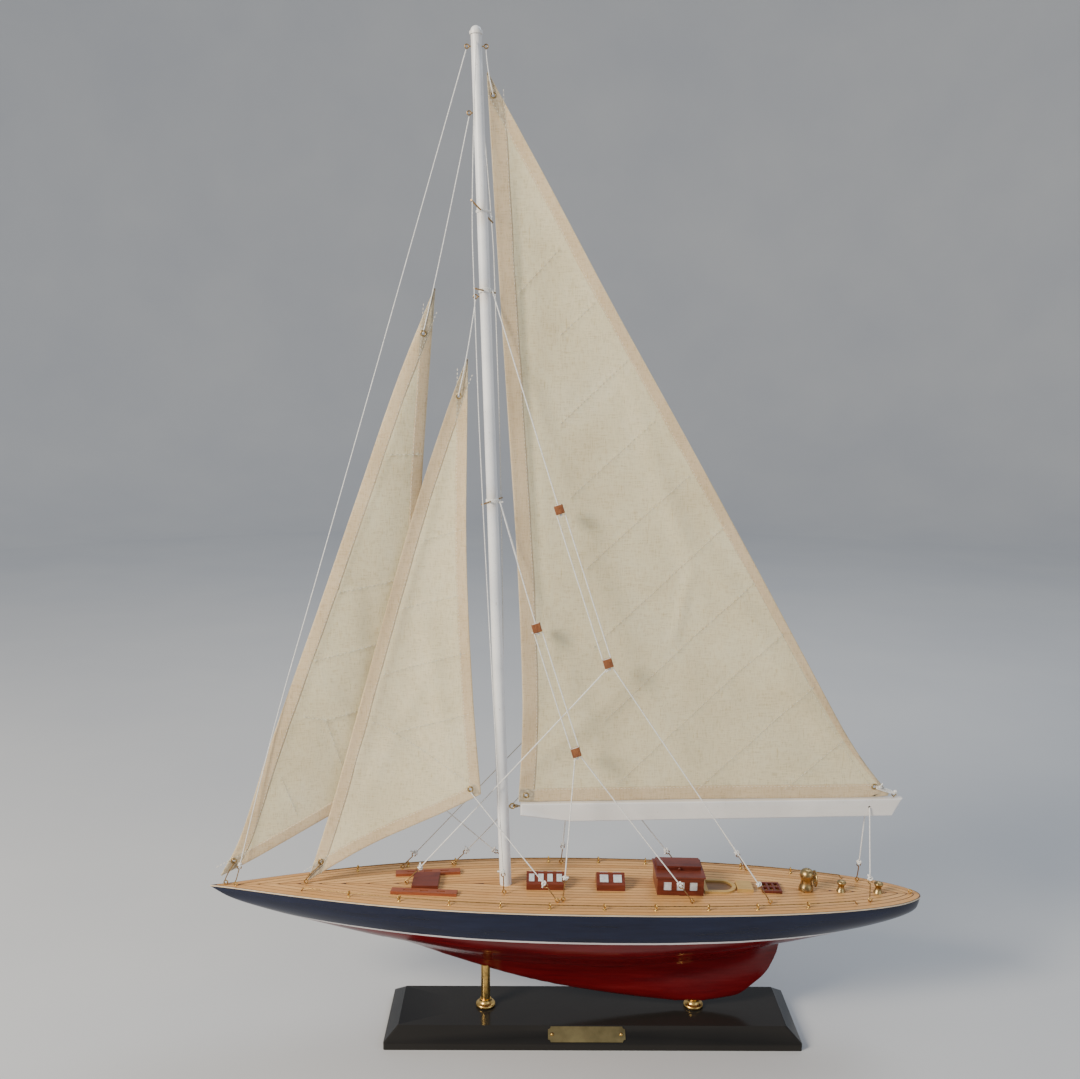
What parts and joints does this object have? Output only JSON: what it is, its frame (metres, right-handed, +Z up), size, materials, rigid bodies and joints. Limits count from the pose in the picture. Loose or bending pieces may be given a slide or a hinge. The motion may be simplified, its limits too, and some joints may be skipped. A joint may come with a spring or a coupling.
{
  "type": "display sailing yacht model",
  "caption": "Wooden display model of a single-masted racing yacht with cloth sails, cord rigging and a lacquered stand",
  "frame": {"origin": "on the table plane under the middle of the hull's length, on the centre line", "axes": "+X from bow to stern, +Y to starboard, +Z up"},
  "size_m": [0.5997, 0.105, 0.8104],
  "materials": {
    "black_lacquer": "gloss black lacquer",
    "brass": "polished, slightly aged",
    "steel": "plain",
    "hull_paint": "gloss paint: navy topsides, white waterline, dark red bottom",
    "deck_wood": "satin varnished planks with dark seams",
    "white_paint": "satin paint",
    "bronze_wire": "aged",
    "sailcloth": "unbleached cotton",
    "cord": "braided thread",
    "mahogany": "satin stain",
    "pane": "pale glossy",
    "tan_wood": "satin varnish",
    "block_wood": "satin stain"
  },
  "bodies": {
    "hull_and_rig": {"base_plinth": "black_lacquer", "nameplate": "brass", "nameplate_pins": "brass", "pillar_front": "brass", "pillar_rear": "brass", "stand_screws": "steel", "hull": "hull_paint", "deck": "deck_wood", "mast": "white_paint", "mast_cap": "white_paint", "mast_bands": "cord", "lower_crosstree": "bronze_wire", "middle_crosstree": "bronze_wire", "upper_crosstree": "bronze_wire", "mast_eyes": "bronze_wire", "gooseneck_eye": "bronze_wire", "staysail": "sailcloth", "jib": "sailcloth", "headsail_grommets": "brass", "deck_strip_port": "mahogany", "deck_strip_starboard": "mahogany", "fore_hatch": "mahogany", "fore_skylight": "mahogany", "aft_skylight": "mahogany", "skylight_panes": "pane", "deckhouse": "mahogany", "deckhouse_windows": "pane", "deckhouse_roof": "mahogany", "sliding_hatch": "mahogany", "cockpit_coaming": "tan_wood", "cockpit_floor": "tan_wood", "aft_hatch": "tan_wood", "grating": "mahogany", "binnacle": "brass", "winches": "brass", "rail_port": "brass", "rail_starboard": "brass", "stanchions": "brass", "deck_eyes": "bronze_wire", "rigging_hooks": "bronze_wire", "blocks": "block_wood", "shrouds": "cord", "forestay": "cord", "jib_halyard": "cord", "staysail_halyard": "cord", "main_halyard": "cord", "upper_runner_port": "cord", "lower_runner_port": "cord", "upper_runner_starboard": "cord", "lower_runner_starboard": "cord", "staysail_sheet": "cord", "jib_sheet": "cord"},
    "boom_and_mainsail": {"boom": "white_paint", "boom_eyes": "bronze_wire", "mainsail": "sailcloth", "mainsail_grommets": "brass", "clew_lashing": "cord", "mainsheet_port": "cord", "mainsheet_starboard": "cord"},
    "wheel": {"steering_wheel": "brass"}
  },
  "joints": [
    {"name": "boom_swing", "type": "hinge", "parent": "hull_and_rig", "child": "boom_and_mainsail", "pos_m": [-0.04399, 0, 0.195], "axis": [-0.0311, 0, 0.9995], "range_deg": [-2, 2]},
    {"name": "wheel_spin", "type": "hinge", "parent": "hull_and_rig", "child": "wheel", "pos_m": [0.2104, 0, 0.13181], "axis": [1, 0, 0], "continuous": true}
  ]
}
